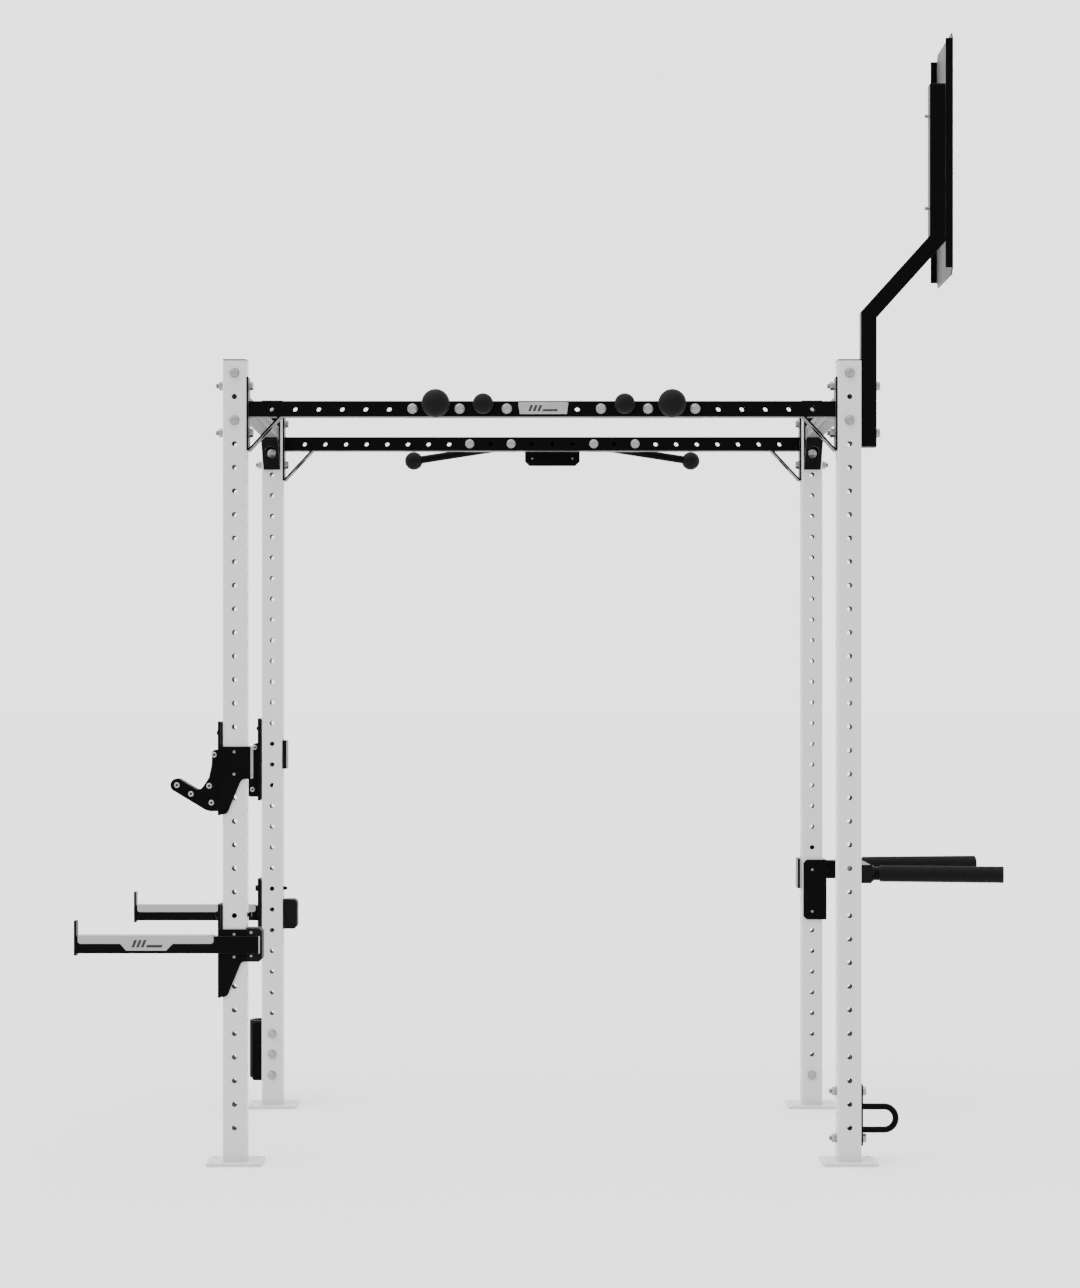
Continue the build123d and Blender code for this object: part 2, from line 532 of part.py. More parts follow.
# ---- hanging brackets: shared by the bar cups and the spotter arms on the left uprights
LIP_TOP, LIP_LOW = -43.0, -146.0
POST_OUT = -OUT_X
POST_IN = -IN_X
BACK_X = POST_OUT - LINER_T - STEEL_T
LIP_X = POST_IN + LINER_T + STEEL_T
HOLD_SIDES = {"near": -1, "far": 1}
SIDE_GAP = 0.5


def outward(y_sign, near, far):
    """Depth limits, measured outward from an upright's centre on the given side."""
    return tuple(sorted((y_sign * (POST_Y + near), y_sign * (POST_Y + far))))


SIDE_NEAR = UPRIGHT_W / 2 + SIDE_GAP
SIDE_FAR = SIDE_NEAR + SIDE_T
BACK_EDGE = -37.0
SIDE_WAIST_X, SIDE_TAIL_X, SIDE_LIFT = -955.0, -1001.0, 3.0


def hang_bracket(y_sign, pin_z, pin_end, edge_x):
    """Back plate and side plate folded round an upright, with a hanging pin.

    A side plate that reaches the lip's place also folds into the lip.
    """
    low, lip = pin_z - HANG_DOWN, (pin_z + LIP_LOW, pin_z + LIP_TOP)
    block((BACK_X, BACK_X + STEEL_T), outward(y_sign, BACK_EDGE, SIDE_FAR), (low, pin_z + HANG_UP))
    slab([(BACK_X, low + SIDE_LIFT), (BACK_X, lip[1]), (edge_x, lip[1]), (edge_x, lip[0]),
          (SIDE_WAIST_X, lip[0]), (SIDE_TAIL_X, low + SIDE_LIFT)],
         outward(y_sign, SIDE_NEAR, SIDE_FAR), [0, 0, 0, 0, 20.0 if edge_x == LIP_X else 12.0, 16.0])
    if edge_x == LIP_X:
        block((LIP_X - STEEL_T, LIP_X), outward(y_sign, BACK_EDGE, SIDE_FAR), lip)
    centre_y = y_sign * POST_Y
    rod((BACK_X + 1, centre_y, pin_z), (pin_end, centre_y, pin_z), PIN_R)


def hang_liners(y_sign, pin_z):
    """Plastic liners between the bracket and the upright's outer and inner faces."""
    span = outward(y_sign, BACK_EDGE, SIDE_NEAR)
    block((BACK_X + STEEL_T, POST_OUT - CLEAR), span,
          (pin_z - HANG_DOWN + 4, pin_z + HANG_UP - 4))
    block((POST_IN + CLEAR, POST_IN + LINER_T), span, (pin_z + LIP_LOW, pin_z + LIP_TOP))
    cross_holes(Plane.YZ.offset(POST_OUT), [(y_sign * POST_Y, pin_z)], PIN_R, 20.0)


# ---- bar cups
CUP_NEAR, CUP_FAR = -12.5, 37.5
CUP_PLATE_T = 6.0
CUP_LOW = CUP_PIN_Z - 248.7
TIP_R = 21.0
TIP_C = (-1160.6, CUP_PIN_Z - 165.7)
SLOPE = math.radians(31)
along = (-math.cos(SLOPE), math.sin(SLOPE))
normal = (math.sin(SLOPE), math.cos(SLOPE))


def tip_corner(forward, up):
    """A corner of the cup's rounded tip, in tip radii along the arm and across it."""
    return tuple(TIP_C[i] + TIP_R * (forward * along[i] + up * normal[i]) for i in (0, 1))


def hook_outline():
    """Outline of a cup's hook and its corner radii."""
    low = CUP_LOW
    lower_x = TIP_C[0] - TIP_R * normal[0]
    lower_z = TIP_C[1] - TIP_R * normal[1]
    heel = (lower_x + (lower_z - low) / math.tan(SLOPE), low)
    valley_x = -1088.0
    upper = tip_corner(0, 1)
    valley = (valley_x, upper[1] - (valley_x - upper[0]) * math.tan(SLOPE))
    points = [(BACK_X, low), heel, tip_corner(1, -1), tip_corner(1, 1), valley,
              (-1059, low + 106), (-1050, low + 150), (-1050, low + 195.5), (BACK_X, low + 195.5)]
    return points, [0, 45.0, TIP_R - 0.01, TIP_R - 0.01, 17.0, 30.0, 30.0, 12.0, 0]


CUP_SCREWS = [(-1042.0, -69.0), (-1058.0, -168.0), (-1051.0, -221.5), (-1116.0, -193.5), (-1160.6, -165.7)]

for name, y_sign in HOLD_SIDES.items():
    points, radii = hook_outline()
    with BuildPart() as cup_bracket:
        hang_bracket(y_sign, CUP_PIN_Z, POST_IN - WALL - 1, LIP_X)
        rod((BACK_X + 1, y_sign * POST_Y, CUP_PIN_Z), (BACK_X - 8, y_sign * POST_Y, CUP_PIN_Z), 6.5)
    finish(cup_bracket, f"cup_bracket_{name}")

    with BuildPart() as cup_liners:
        hang_liners(y_sign, CUP_PIN_Z)
    finish(cup_liners, f"cup_liners_{name}")

    with BuildPart() as cup_cheeks:
        slab(points, outward(y_sign, CUP_FAR - CUP_PLATE_T, CUP_FAR), radii)
        slab(points, outward(y_sign, CUP_NEAR, CUP_NEAR + CUP_PLATE_T), radii)
    finish(cup_cheeks, f"cup_cheeks_{name}")

    with BuildPart() as cup_core:
        slab(points, outward(y_sign, CUP_NEAR + CUP_PLATE_T, CUP_FAR - CUP_PLATE_T), radii)
    finish(cup_core, f"cup_core_{name}")

# ---- spotter arms
ARM_NEAR, ARM_FAR, ARM_PLATE_T = 12.0, 52.0, 8.0
ARM_TIP, STOP_T = -1486.0, 8.0
ARM_LOW, ARM_STEP, ARM_TOP = ARM_PIN_Z - 119.0, ARM_PIN_Z - 88.5, ARM_PIN_Z - 64.5
PAD_TOP = ARM_PIN_Z - 61.5
STOP_Z = (ARM_PIN_Z - 126.5, ARM_PIN_Z - 14.5)
ARM_END, ARM_END_T = -900.0, 4.0
ARM_SIDE_X = -935.0
PAD_X = (-1474.0, -1042.0)
WINDOW = [(-1339.0, ARM_STEP), (-1172.0, ARM_STEP), (-1193.0, ARM_LOW + 9), (-1320.0, ARM_LOW + 9)]
STEP_R = 10.0
KNOB_R = 11.0
LIP_BLOCK_X = -889.0


def arm_outline(end_x):
    """Outline of an arm's side plate: low in the middle, high at both ends."""
    start = ARM_TIP + STOP_T
    points = [(start - 1, ARM_LOW), (end_x, ARM_LOW), (end_x, ARM_TOP)]
    radii = [0, 0, 0]
    shoulder = [(PAD_X[1], ARM_TOP), (PAD_X[1], ARM_STEP), (PAD_X[0], ARM_STEP),
                (PAD_X[0], ARM_TOP), (start - 1, ARM_TOP)]
    return points + shoulder, radii + [2.0, STEP_R, STEP_R, 1.0, 0]


for name, y_sign in HOLD_SIDES.items():
    with BuildPart() as arm_bracket:
        hang_bracket(y_sign, ARM_PIN_Z, BACK_X + 2, ARM_SIDE_X)
        cross_holes(Plane.YZ.offset(BACK_X), [(y_sign * POST_Y, ARM_PIN_Z)], PIN_R, 3 * STEEL_T)
    finish(arm_bracket, f"spotter_bracket_{name}")

    with BuildPart() as arm_pin:
        centre_y = y_sign * POST_Y
        rod((BACK_X, centre_y, ARM_PIN_Z), (POST_IN + 2, centre_y, ARM_PIN_Z), PIN_R)
        rod((BACK_X, centre_y, ARM_PIN_Z), (BACK_X - 12, centre_y, ARM_PIN_Z), KNOB_R)
        fillet(arm_pin.edges().sort_by(Axis.X)[0], 2.0)
        rod((POST_IN + 2, centre_y, ARM_PIN_Z), (POST_IN + 14, centre_y, ARM_PIN_Z), PIN_R - 2)
    finish(arm_pin, f"spotter_pin_{name}")

    with BuildPart() as arm:
        block((ARM_TIP, ARM_TIP + STOP_T), outward(y_sign, ARM_NEAR, ARM_FAR), STOP_Z)
        fillet(arm.edges().filter_by(Axis.X), 5.0)
        outline, radii = arm_outline(ARM_END)
        slab(outline, outward(y_sign, ARM_FAR - ARM_PLATE_T, ARM_FAR), radii)
        slab(WINDOW, outward(y_sign, ARM_FAR - 2 * ARM_PLATE_T, ARM_FAR + ARM_PLATE_T),
             mode=Mode.SUBTRACT)
        outline, radii = arm_outline(BACK_X)
        slab(outline, outward(y_sign, ARM_NEAR, ARM_NEAR + ARM_PLATE_T), radii)
    finish(arm, f"spotter_arm_{name}")

    with BuildPart() as arm_pad:
        block((ARM_TIP + STOP_T, BACK_X),
              outward(y_sign, ARM_NEAR + ARM_PLATE_T, ARM_FAR - ARM_PLATE_T), (ARM_LOW + 3, ARM_TOP))
        ends = (PAD_X[0] + 0.5, PAD_X[1] - 0.5)
        slab([(ends[0], ARM_STEP), (ends[1], ARM_STEP), (ends[1], PAD_TOP), (ends[0], PAD_TOP)],
             outward(y_sign, ARM_NEAR, ARM_FAR), [STEP_R, STEP_R, 3.0, 3.0])
        outer = outward(y_sign, ARM_FAR - ARM_PLATE_T, ARM_FAR)
        slab(WINDOW, outer)
        block((ARM_END, ARM_END + ARM_END_T), outer, (ARM_LOW, ARM_TOP))
    finish(arm_pad, f"spotter_pad_{name}")

    with BuildPart() as lip_block:
        block((POST_IN + CLEAR, LIP_BLOCK_X), outward(y_sign, -20.0, SIDE_FAR),
              (ARM_PIN_Z - 146.5, ARM_PIN_Z - 39.5))
        chamfer(lip_block.edges().filter_by(Axis.Y).sort_by(Axis.X)[-2:], 10.0)
        block((POST_IN, ARM_SIDE_X + SIDE_GAP), outward(y_sign, SIDE_NEAR, SIDE_FAR + 1),
              (ARM_PIN_Z - UPRIGHT_W * 2, ARM_PIN_Z), Mode.SUBTRACT)
        block((BACK_X + STEEL_T, POST_OUT - CLEAR), outward(y_sign, BACK_EDGE, SIDE_NEAR),
              (ARM_PIN_Z - HANG_DOWN + 4, ARM_PIN_Z + HANG_UP - 4))
        cross_holes(Plane.YZ.offset(POST_OUT), [(y_sign * POST_Y, ARM_PIN_Z)], PIN_R, 20.0)
    finish(lip_block, f"spotter_liners_{name}")


# ---- small button-head screws on the plates, one group for each body
SCREW_R, SCREW_H = 9.0, 3.0


def button_heads(heads):
    """Low round screw heads with socket recesses; heads are (x, y, z, radius, outward sign)."""
    for x, y, z, radius, y_sign in heads:
        with BuildSketch(Plane(origin=(x, y, z), z_dir=(0, y_sign, 0))) as head:
            Circle(radius)
            RegularPolygon(radius * 0.42, 6, mode=Mode.SUBTRACT)
        extrude(head.sketch, amount=SCREW_H)


PLATE_SCREW_R, BADGE_SCREW_R = 4.5, 4.0
STUD_R, STUD_OUT = 6.0, 14.0
PLATE_SCREW_DROPS = (-60.0, -131.0)
DIP_SCREW_Z = (862.0, 711.0)
for name, y_sign in HOLD_SIDES.items():
    plate_y = y_sign * (POST_Y + SIDE_FAR)
    heads = [(x, y_sign * (POST_Y + cheek), CUP_PIN_Z + dz, SCREW_R, facing)
             for x, dz in CUP_SCREWS for cheek, facing in ((CUP_FAR, y_sign), (CUP_NEAR, -y_sign))]
    heads += [(-POST_X, plate_y, CUP_PIN_Z + dz, PLATE_SCREW_R, y_sign) for dz in PLATE_SCREW_DROPS]
    with BuildPart() as cup_screws:
        button_heads(heads)
    finish(cup_screws, f"cup_screws_{name}")

with BuildPart() as trim_screws:
    button_heads([(POST_X, DIP_FRONT_Y - DIP_FACE_T, z, PLATE_SCREW_R, -1) for z in DIP_SCREW_Z]
                 + [(x, POST_Y + HALF, z, BADGE_SCREW_R, -1) for x, z in BADGE_SCREWS])
    stud_x = POST_HIGH_X - HALF
    for z in PANEL_STUDS:
        rod((stud_x, -POST_Y, z), (stud_x - STUD_OUT, -POST_Y, z), STUD_R)
finish(trim_screws, "trim_screws")
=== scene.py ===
"""Finish of a four-post training rig: powder-coated tube, zinc hardware, rubber grips and plastic liners.

Laid out as an add-on: sizes and colours are properties, each group of pieces has an operator, and one panel
lists them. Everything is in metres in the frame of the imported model; sizes in millimetres carry MM.
"""
import json
import math

import bpy
from mathutils import Matrix, Vector

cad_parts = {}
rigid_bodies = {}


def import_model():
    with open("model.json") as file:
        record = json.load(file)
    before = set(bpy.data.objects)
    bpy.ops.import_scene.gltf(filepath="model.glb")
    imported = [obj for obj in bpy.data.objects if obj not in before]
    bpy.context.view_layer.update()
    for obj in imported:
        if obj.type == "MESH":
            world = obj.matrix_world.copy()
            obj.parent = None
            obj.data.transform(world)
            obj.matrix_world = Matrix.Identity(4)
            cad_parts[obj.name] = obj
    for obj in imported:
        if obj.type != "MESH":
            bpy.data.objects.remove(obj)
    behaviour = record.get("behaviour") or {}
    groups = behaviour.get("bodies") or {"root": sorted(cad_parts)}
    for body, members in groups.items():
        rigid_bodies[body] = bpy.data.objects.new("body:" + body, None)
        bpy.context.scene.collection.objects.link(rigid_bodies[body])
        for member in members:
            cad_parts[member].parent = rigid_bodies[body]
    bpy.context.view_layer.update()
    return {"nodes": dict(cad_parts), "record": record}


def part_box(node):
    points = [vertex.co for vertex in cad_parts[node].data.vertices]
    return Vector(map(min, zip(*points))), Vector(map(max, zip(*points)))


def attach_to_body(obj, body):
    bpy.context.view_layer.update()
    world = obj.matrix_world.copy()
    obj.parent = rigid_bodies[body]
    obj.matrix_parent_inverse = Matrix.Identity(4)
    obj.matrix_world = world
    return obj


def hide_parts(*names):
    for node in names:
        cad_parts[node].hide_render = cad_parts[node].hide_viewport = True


bl_info = {
    "name": "Training Rig Finish",
    "version": (1, 0, 0),
    "blender": (4, 5, 0),
    "location": "View3D > Sidebar > Rig",
    "description": "Models the finished pieces of a four-post training rig round its packed frame",
    "category": "Object",
}

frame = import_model()
MM = 0.001
BODY_OF = {node: body for body, nodes in frame["record"]["behaviour"]["bodies"].items() for node in nodes}
SLOT_OF = {part["node"]: part["material_slot"] for part in frame["record"]["subparts"]}
SMOOTH_ANGLE = math.radians(35)


def linear(hex_colour):
    """An sRGB hex colour as linear RGBA."""
    parts = [int(hex_colour[i:i + 2], 16) / 255 for i in (1, 3, 5)]
    return tuple(p / 12.92 if p <= 0.04045 else ((p + 0.055) / 1.055) ** 2.4 for p in parts) + (1.0,)


# ---- properties
def colour(name, description, hex_colour):
    """A colour property with its default given as sRGB hex."""
    return bpy.props.FloatVectorProperty(
        name=name, description=description, subtype="COLOR", size=4, min=0.0, max=1.0,
        default=linear(hex_colour))


def length(name, description, millimetres):
    """A length property with its default given in millimetres."""
    return bpy.props.FloatProperty(
        name=name, description=description, default=millimetres * MM, unit="LENGTH", min=0.0)


class RigColours(bpy.types.PropertyGroup):
    """Colours of the rig's finishes."""
    white_coat: colour("Upright coat", "Powder coat of the uprights and feet", "#C1C2C3")
    black_coat: colour("Black coat", "Powder coat of beams, brackets and plates", "#040405")
    zinc: colour("Zinc", "Plating of bolts, nuts and washers", "#9C9EA0")
    rubber: colour("Rubber", "Globes and grip sleeves", "#0A0B0C")
    pad: colour("Arm pad", "Plastic pads of the spotter arms", "#8F9193")
    plastic: colour("Black plastic", "Caps, liners and cup cores", "#060607")
    badge: colour("Badge", "Brushed metal of the front badge", "#B9BBBD")
    mark: colour("Mark", "Generic mark on the badge and pads", "#111112")
    floor: colour("Floor", "Studio floor", "#E6E6E6")


class RigSizes(bpy.types.PropertyGroup):
    """Sizes that shape the finish."""
    steel_edge: length("Steel edge", "Rounding of cut plate and tube edges", 0.7)
    plastic_edge: length("Plastic edge", "Rounding of machined plastic edges", 1.6)
    rib_pitch: length("Rib pitch", "Distance between the ribs of a dip sleeve", 6.0)
    rib_depth: length("Rib depth", "Depth of the grooves between ribs", 1.4)
    thread_pitch: length("Thread pitch", "Pitch of the bolts' thread", 2.0)
    pebble: length("Pebble", "Grain of the rubber globes", 3.0)
    pebble_height: length("Pebble height", "Height of the globes' grain", 0.35)
    coat_grain: length("Coat grain", "Grain of the powder coat, drawn coarse enough to show", 1.6)


# ---- mesh helpers
def deselect():
    """Leaves edit mode with nothing selected."""
    if bpy.context.object and bpy.context.object.mode != "OBJECT":
        bpy.ops.object.mode_set(mode="OBJECT")
    bpy.ops.object.select_all(action="DESELECT")


def activate(*objects):
    """Selects these objects alone; the first is active."""
    deselect()
    for item in objects:
        item.select_set(True)
    bpy.context.view_layer.objects.active = objects[0]


def edit_all(piece):
    """Enters edit mode on a piece with all of it selected."""
    activate(piece)
    bpy.ops.object.mode_set(mode="EDIT")
    bpy.ops.mesh.select_all(action="SELECT")


def apply_modifier(piece, kind, **settings):
    """Adds one modifier, sets it and applies it."""
    modifier = piece.modifiers.new(kind.lower(), kind)
    for key, value in settings.items():
        setattr(modifier, key, value)
    activate(piece)
    bpy.ops.object.modifier_apply(modifier=modifier.name)


def place(piece, matrix):
    """Puts a piece at a place and applies it, so that its object sits at the origin."""
    piece.matrix_world = matrix @ piece.matrix_world
    activate(piece)
    bpy.ops.object.transform_apply(location=True, rotation=True, scale=True)
    return piece


def along(origin, direction):
    """The matrix that puts the origin at a point and +Z along a direction."""
    turn = Vector(direction).to_track_quat("Z", "Y").to_matrix().to_4x4()
    return Matrix.Translation(Vector(origin)) @ turn


def join(pieces, name):
    """Joins pieces into one object."""
    activate(*pieces)
    if len(pieces) > 1:
        bpy.ops.object.join()
    whole = bpy.context.object
    whole.name = whole.data.name = name
    return whole


def duplicate(piece):
    """A copy of a piece with its own mesh."""
    twin = piece.copy()
    twin.data = piece.data.copy()
    bpy.context.scene.collection.objects.link(twin)
    return twin


def turned(name, rings, sides=32, filled=True):
    """A turned piece about Z from a stack of (radius, height) rings in millimetres."""
    deselect()
    radius, height = rings[0]
    bpy.ops.mesh.primitive_circle_add(
        vertices=sides, radius=radius * MM, fill_type="NGON" if filled else "NOTHING",
        location=(0, 0, height * MM))
    piece = bpy.context.object
    piece.name = piece.data.name = name
    bpy.ops.object.transform_apply(location=True, rotation=True, scale=True)
    edit_all(piece)
    extrude = bpy.ops.mesh.extrude_region_move if filled else bpy.ops.mesh.extrude_edges_move
    for (old, low), (new, high) in zip(rings, rings[1:]):
        extrude(TRANSFORM_OT_translate={"value": (0, 0, (high - low) * MM)})
        bpy.ops.transform.resize(value=(new / old, new / old, 1), center_override=(0, 0, high * MM))
    bpy.ops.mesh.select_all(action="SELECT")
    bpy.ops.mesh.normals_make_consistent(inside=False)
    deselect()
    return piece


def smooth(piece, angle=SMOOTH_ANGLE):
    """Smooth shading up to an angle, with flat faces kept flat."""
    activate(piece)
    bpy.ops.object.shade_smooth_by_angle(angle=angle)
    apply_modifier(piece, "WEIGHTED_NORMAL", keep_sharp=True)


def close_ring(piece):
    """Merges the first and last ring of a turned ring, and shades it."""
    edit_all(piece)
    bpy.ops.mesh.remove_doubles(threshold=0.02 * MM)
    bpy.ops.mesh.normals_make_consistent(inside=False)
    deselect()
    smooth(piece, math.radians(30))


def settle(piece, node, material, *more_nodes):
    """Gives a finished piece its material, its body and the nodes that it stands for."""
    piece.data.materials.clear()
    piece.data.materials.append(material)
    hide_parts(node, *more_nodes)
    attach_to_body(piece, BODY_OF[node])
    return piece


def attach(piece, node, material):
    """Gives a piece that stands for no node its material, and lets it ride on a node's body."""
    piece.data.materials.clear()
    piece.data.materials.append(material)
    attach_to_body(piece, BODY_OF[node])


def merged_copy(node, name):
    """A copy of a node's shape with its loose triangles merged into clean faces."""
    source = frame["nodes"][node]
    piece = source.copy()
    piece.data = source.data.copy()
    piece.data.materials.clear()
    bpy.context.scene.collection.objects.link(piece)
    piece.parent = None
    piece.matrix_world = Matrix.Identity(4)
    piece.name = piece.data.name = name
    edit_all(piece)
    bpy.ops.mesh.remove_doubles(threshold=0.01 * MM)
    bpy.ops.mesh.dissolve_limited(angle_limit=math.radians(0.5))
    deselect()
    return piece


def rounded(piece, width, angle=math.radians(40), segments=2):
    """Rounds a piece's hard edges."""
    apply_modifier(piece, "BEVEL", width=width, segments=segments, limit_method="ANGLE",
                   angle_limit=angle, use_clamp_overlap=False)
    smooth(piece)
    return piece


def solids(node):
    """The corner points of each separate solid of a node."""
    source = merged_copy(node, "loose")
    edit_all(source)
    bpy.ops.mesh.separate(type="LOOSE")
    deselect()
    parts = [item for item in bpy.context.scene.objects if item.name.startswith("loose")]
    clouds = [[v.co.copy() for v in part.data.vertices] for part in parts]
    activate(*parts)
    bpy.ops.object.delete()
    return sorted(clouds, key=lambda cloud: tuple(round(c, 4) for c in cloud_box(cloud)[0]))


def cloud_box(cloud):
    """Lowest and highest corner of some points."""
    low = Vector([min(point[i] for point in cloud) for i in range(3)])
    high = Vector([max(point[i] for point in cloud) for i in range(3)])
    return low, high


# ---- material helpers
# the mix node has sockets of the same name for each kind of value; these are the colour ones
MIX_COLOUR_A, MIX_COLOUR_B, MIX_COLOUR_OUT = 6, 7, 2


def add(tree, kind, settings=(), links=()):
    """Adds a node with its settings and its links; both may name an input or an attribute."""
    item = tree.nodes.new("ShaderNode" + kind)
    for key, value in dict(settings).items():
        if key in item.inputs:
            item.inputs[key].default_value = value
        else:
            setattr(item, key, value)
    for key, socket in dict(links).items():
        tree.links.new(socket, item.inputs[key])
    return item


def new_material(name, settings):
    """A material with one Principled shader; returns the material, its tree and the shader."""
    material = bpy.data.materials.new(name)
    material.use_nodes = True
    tree = material.node_tree
    shader = tree.nodes["Principled BSDF"]
    for key, value in settings.items():
        shader.inputs[key].default_value = value
    return material, tree, shader


def pattern_scale(size):
    """Texture scale that gives a feature of this size in metres."""
    return 1.0 / size


def mottled(tree, shader, base, shade, patch, roughness, spread):
    """Slight change of colour and roughness over patches of a real size."""
    place_at = add(tree, "TexCoord").outputs["Object"]
    clouds = add(tree, "TexNoise", {"Scale": pattern_scale(patch), "Detail": 4.0}, {"Vector": place_at})
    dark = tuple(channel * shade for channel in base[:3]) + (1.0,)
    blend = add(tree, "Mix", {"data_type": "RGBA"}, {"Factor": clouds.outputs["Fac"]})
    blend.inputs[MIX_COLOUR_A].default_value = dark
    blend.inputs[MIX_COLOUR_B].default_value = base
    tree.links.new(blend.outputs[MIX_COLOUR_OUT], shader.inputs["Base Color"])
    gloss = add(tree, "MapRange", {"To Min": roughness - spread, "To Max": roughness + spread},
                {"Value": clouds.outputs["Fac"]})
    tree.links.new(gloss.outputs["Result"], shader.inputs["Roughness"])
    return place_at


def grain(tree, shader, place_at, size, height, strength, kind="TexNoise", stretch=(1, 1, 1)):
    """Fine bump with a real grain size and height."""
    mapping = add(tree, "Mapping", {"Scale": stretch}, {"Vector": place_at})
    settings = {"Scale": pattern_scale(size)}
    if kind == "TexNoise":
        settings["Detail"] = 3.0
    pattern = add(tree, kind, settings, {"Vector": mapping.outputs["Vector"]})
    socket = pattern.outputs["Fac" if kind == "TexNoise" else "Distance"]
    bump = add(tree, "Bump", {"Strength": strength, "Distance": height}, {"Height": socket})
    tree.links.new(bump.outputs["Normal"], shader.inputs["Normal"])


def white_powder_coat(colours, sizes):
    """Polyester powder coat, baked: even pale grey with a soft sheen and faint orange peel."""
    material, tree, shader = new_material("white_polyester_powder_coat", {"IOR": 1.5})
    place_at = mottled(tree, shader, tuple(colours.white_coat), shade=0.965, patch=0.16,
                       roughness=0.46, spread=0.05)
    grain(tree, shader, place_at, size=sizes.coat_grain, height=0.06 * MM, strength=0.35)
    return material


def black_powder_coat(colours, sizes):
    """Fine-texture black powder coat: near black, its grain scattering a pale veil at grazing angles."""
    material, tree, shader = new_material("black_fine_texture_powder_coat", {
        "IOR": 1.5, "Specular IOR Level": 0.04, "Sheen Weight": 0.3, "Sheen Roughness": 0.25})
    place_at = mottled(tree, shader, tuple(colours.black_coat), shade=0.8, patch=0.09,
                       roughness=0.44, spread=0.06)
    grain(tree, shader, place_at, size=sizes.coat_grain * 0.8, height=0.09 * MM, strength=0.5)
    return material


def zinc_plate(colours, sizes):
    """Zinc plating on steel: pale metal, a little cloudy from the passivation."""
    material, tree, shader = new_material("zinc_plated_steel", {"Metallic": 1.0})
    place_at = mottled(tree, shader, tuple(colours.zinc), shade=0.86, patch=0.012,
                       roughness=0.46, spread=0.06)
    grain(tree, shader, place_at, size=0.7 * MM, height=0.03 * MM, strength=0.4)
    return material


def grip_rubber(colours, sizes):
    """Moulded nitrile rubber: dark grey, dull, with a pebbled skin that scatters light."""
    material, tree, shader = new_material("moulded_nitrile_rubber", {"IOR": 1.52, "Specular IOR Level": 0.1})
    place_at = mottled(tree, shader, tuple(colours.rubber), shade=0.75, patch=0.03,
                       roughness=0.72, spread=0.08)
    grain(tree, shader, place_at, size=sizes.pebble * 0.5, height=0.2 * MM, strength=0.6, kind="TexVoronoi")
    return material


def pad_plastic(colours, sizes):
    """Machined UHMW polyethylene: waxy light grey with faint cutter lines along its length."""
    material, tree, shader = new_material("machined_polyethylene", {
        "IOR": 1.51, "Subsurface Weight": 0.06, "Subsurface Scale": 2 * MM})
    place_at = mottled(tree, shader, tuple(colours.pad), shade=0.94, patch=0.06,
                       roughness=0.5, spread=0.06)
    grain(tree, shader, place_at, size=1.4 * MM, height=0.05 * MM, strength=0.4, stretch=(0.06, 1, 1))
    return material


def black_nylon(colours, sizes):
    """Moulded black nylon: dull, with the fine spark-eroded texture of its mould."""
    material, tree, shader = new_material("moulded_black_nylon", {"IOR": 1.53, "Specular IOR Level": 0.08})
    place_at = mottled(tree, shader, tuple(colours.plastic), shade=0.82, patch=0.05,
                       roughness=0.56, spread=0.06)
    grain(tree, shader, place_at, size=0.9 * MM, height=0.05 * MM, strength=0.45)
    return material


def brushed_badge(colours, sizes):
    """Brushed aluminium: satin metal with straight scratches along its length."""
    material, tree, shader = new_material("brushed_aluminium", {"Metallic": 1.0})
    place_at = mottled(tree, shader, tuple(colours.badge), shade=0.9, patch=0.02,
                       roughness=0.38, spread=0.05)
    grain(tree, shader, place_at, size=0.5 * MM, height=0.04 * MM, strength=0.5, stretch=(0.02, 1, 1))
    return material


def printed_mark(colours, sizes):
    """Screen-printed ink: flat black with a soft edge of gloss."""
    material, tree, shader = new_material("screen_print_ink", {"IOR": 1.5})
    place_at = mottled(tree, shader, tuple(colours.mark), shade=0.85, patch=0.01,
                       roughness=0.55, spread=0.05)
    grain(tree, shader, place_at, size=0.6 * MM, height=0.02 * MM, strength=0.3)
    return material


def studio_floor(colours, sizes):
    """Matt painted studio floor: pale and even."""
    material, tree, shader = new_material("matt_studio_paint", {"IOR": 1.45, "Specular IOR Level": 0.1})
    place_at = mottled(tree, shader, tuple(colours.floor), shade=0.995, patch=1.5,
                       roughness=0.85, spread=0.05)
    grain(tree, shader, place_at, size=12 * MM, height=0.1 * MM, strength=0.1)
    return material


FINISHES = {
    "white": white_powder_coat, "black": black_powder_coat, "zinc": zinc_plate, "rubber": grip_rubber,
    "pad": pad_plastic, "nylon": black_nylon, "badge": brushed_badge, "ink": printed_mark,
    "floor": studio_floor,
}
made = {}


def finish(name):
    """The named finish, made once."""
    if name not in made:
        scene = bpy.context.scene
        made[name] = FINISHES[name](scene.rig_colours, scene.rig_sizes)
    return made[name]


# the dip station's liners are the pale plastic of the arm pads
NODE_FINISH = {"dip_liners": "pad"}
SLOT_FINISH = {
    "white_powder_coat": "white", "black_powder_coat": "black", "zinc_plated_steel": "zinc",
    "grip_rubber": "rubber", "grey_liner_plastic": "pad", "black_plastic": "nylon", "brushed_badge": "badge",
}


def edged_nodes(nodes, width, suffix):
    """Finishes nodes whose shape is right: merged, with rounded edges and even shading."""
    for node in nodes:
        piece = rounded(merged_copy(node, f"{node}_{suffix}"), width)
        settle(piece, node, finish(NODE_FINISH.get(node, SLOT_FINISH[SLOT_OF[node]])))


# ---- operators
# each side of the rig with the way it faces along Y
SIDES = (("near", -1), ("far", 1))


